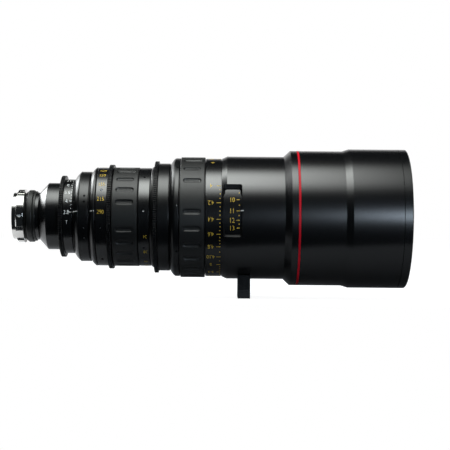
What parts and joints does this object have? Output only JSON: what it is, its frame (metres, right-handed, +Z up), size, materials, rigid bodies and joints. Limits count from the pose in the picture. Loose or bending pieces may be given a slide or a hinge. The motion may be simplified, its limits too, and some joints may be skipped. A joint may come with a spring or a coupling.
{
  "type": "cinema zoom lens",
  "caption": "Long cinema zoom lens: lugged camera mount, toothed iris, zoom and focus rings with rubber grips, windowed barrel, support foot and deep sun shade.",
  "frame": {"origin": "centre of the mount's seating face, where the centring tube meets the lugged flange", "axes": "+X along the optical axis from the mount to the front, +Z up with the foot below"},
  "size_m": [0.4535, 0.161, 0.1729],
  "materials": {
    "black_anodised": "satin black anodised",
    "gear_black": "satin black anodised, worn tooth tips",
    "inner_black": "matte black anodised",
    "grip_rubber": "matte moulded rubber",
    "chromed_brass": "satin chrome",
    "coated_glass": "polished, coated",
    "red_anodised": "satin red anodised",
    "steel": "ground steel",
    "cam_bronze": "machined bronze",
    "blade_steel": "blackened spring steel"
  },
  "bodies": {
    "barrel": {"mount_flange": "chromed_brass", "mount_screws": "steel", "mount_collar": "black_anodised", "rear_housing": "black_anodised", "rear_cell": "inner_black", "rear_elements": "coated_glass", "rear_retaining_ring": "inner_black", "iris_base_plate": "inner_black", "relay_cell": "inner_black", "relay_elements": "coated_glass", "centre_housing": "black_anodised", "guide_rods": "steel", "rod_plates": "inner_black", "focus_sleeve": "black_anodised", "main_barrel": "black_anodised", "support_foot": "black_anodised", "foot_screws": "steel", "front_housing": "black_anodised", "accent_ring": "red_anodised", "front_cell": "inner_black", "front_elements": "coated_glass", "front_retaining_ring": "inner_black", "sun_shade": "black_anodised", "front_rim": "black_anodised"},
    "iris_ring": {"stop_scale_ring": "black_anodised", "iris_gear": "gear_black", "iris_rotor": "cam_bronze", "iris_key": "steel"},
    "zoom_ring": {"zoom_ring_body": "black_anodised", "zoom_scale_ring": "black_anodised", "zoom_gear": "gear_black", "zoom_grip": "grip_rubber", "zoom_end_ring": "black_anodised", "zoom_cam_tube": "cam_bronze", "zoom_key": "steel"},
    "compensator": {"compensator_cell": "inner_black", "compensator_elements": "coated_glass", "compensator_followers": "steel"},
    "variator": {"variator_cell": "inner_black", "variator_elements": "coated_glass", "variator_followers": "steel"},
    "focus_ring": {"focus_ring_body": "black_anodised", "focus_gear": "gear_black", "focus_grip": "grip_rubber", "focus_scale_ring": "black_anodised"},
    "focus_group": {"focus_cell": "inner_black", "focus_elements": "coated_glass", "focus_followers": "steel"},
    "blade_1": {"iris_blade_1": "blade_steel"},
    "blade_2": {"iris_blade_2": "blade_steel"},
    "blade_3": {"iris_blade_3": "blade_steel"},
    "blade_4": {"iris_blade_4": "blade_steel"},
    "blade_5": {"iris_blade_5": "blade_steel"},
    "blade_6": {"iris_blade_6": "blade_steel"},
    "blade_7": {"iris_blade_7": "blade_steel"},
    "blade_8": {"iris_blade_8": "blade_steel"},
    "blade_9": {"iris_blade_9": "blade_steel"}
  },
  "joints": [
    {"name": "iris_turn", "type": "hinge", "parent": "barrel", "child": "iris_ring", "pos_m": [0.0533, 0, 0], "axis": [1, 0, 0], "range_deg": [0, 96]},
    {"name": "zoom_turn", "type": "hinge", "parent": "barrel", "child": "zoom_ring", "pos_m": [0.109, 0, 0], "axis": [1, 0, 0], "range_deg": [0, 160]},
    {"name": "focus_turn", "type": "hinge", "parent": "barrel", "child": "focus_ring", "pos_m": [0.16125, 0, 0], "axis": [1, 0, 0], "range_deg": [-110, 217]},
    {"name": "variator_slide", "type": "slide", "parent": "barrel", "child": "variator", "axis": [1, 0, 0], "range_m": [0, 0.062]},
    {"name": "compensator_slide", "type": "slide", "parent": "barrel", "child": "compensator", "axis": [1, 0, 0], "range_m": [0, 0.014]},
    {"name": "focus_slide", "type": "slide", "parent": "barrel", "child": "focus_group", "axis": [1, 0, 0], "range_m": [-0.00673, 0.01327]},
    {"name": "blade_1_swing", "type": "hinge", "parent": "barrel", "child": "blade_1", "pos_m": [0.05758, 0.0245, 0], "axis": [1, 0, 0], "range_deg": [0, 34.01]},
    {"name": "blade_2_swing", "type": "hinge", "parent": "barrel", "child": "blade_2", "pos_m": [0.05758, 0.01877, 0.01575], "axis": [1, 0, 0], "range_deg": [0, 34.01]},
    {"name": "blade_3_swing", "type": "hinge", "parent": "barrel", "child": "blade_3", "pos_m": [0.05758, 0.00425, 0.02413], "axis": [1, 0, 0], "range_deg": [0, 34.01]},
    {"name": "blade_4_swing", "type": "hinge", "parent": "barrel", "child": "blade_4", "pos_m": [0.05758, -0.01225, 0.02122], "axis": [1, 0, 0], "range_deg": [0, 34.01]},
    {"name": "blade_5_swing", "type": "hinge", "parent": "barrel", "child": "blade_5", "pos_m": [0.05758, -0.02302, 0.00838], "axis": [1, 0, 0], "range_deg": [0, 34.01]},
    {"name": "blade_6_swing", "type": "hinge", "parent": "barrel", "child": "blade_6", "pos_m": [0.05758, -0.02302, -0.00838], "axis": [1, 0, 0], "range_deg": [0, 34.01]},
    {"name": "blade_7_swing", "type": "hinge", "parent": "barrel", "child": "blade_7", "pos_m": [0.05758, -0.01225, -0.02122], "axis": [1, 0, 0], "range_deg": [0, 34.01]},
    {"name": "blade_8_swing", "type": "hinge", "parent": "barrel", "child": "blade_8", "pos_m": [0.05758, 0.00425, -0.02413], "axis": [1, 0, 0], "range_deg": [0, 34.01]},
    {"name": "blade_9_swing", "type": "hinge", "parent": "barrel", "child": "blade_9", "pos_m": [0.05758, 0.01877, -0.01575], "axis": [1, 0, 0], "range_deg": [0, 34.01]}
  ],
  "couplings": [
    {"joint": "variator_slide", "follows": "zoom_turn", "m_per_rad": 0.022202},
    {"joint": "compensator_slide", "follows": "zoom_turn", "m_per_rad": 0.0050133},
    {"joint": "focus_slide", "follows": "focus_turn", "m_per_rad": 0.0035014},
    {"joint": "blade_1_swing", "follows": "iris_turn", "ratio": 0.35417},
    {"joint": "blade_2_swing", "follows": "iris_turn", "ratio": 0.35417},
    {"joint": "blade_3_swing", "follows": "iris_turn", "ratio": 0.35417},
    {"joint": "blade_4_swing", "follows": "iris_turn", "ratio": 0.35417},
    {"joint": "blade_5_swing", "follows": "iris_turn", "ratio": 0.35417},
    {"joint": "blade_6_swing", "follows": "iris_turn", "ratio": 0.35417},
    {"joint": "blade_7_swing", "follows": "iris_turn", "ratio": 0.35417},
    {"joint": "blade_8_swing", "follows": "iris_turn", "ratio": 0.35417},
    {"joint": "blade_9_swing", "follows": "iris_turn", "ratio": 0.35417}
  ]
}
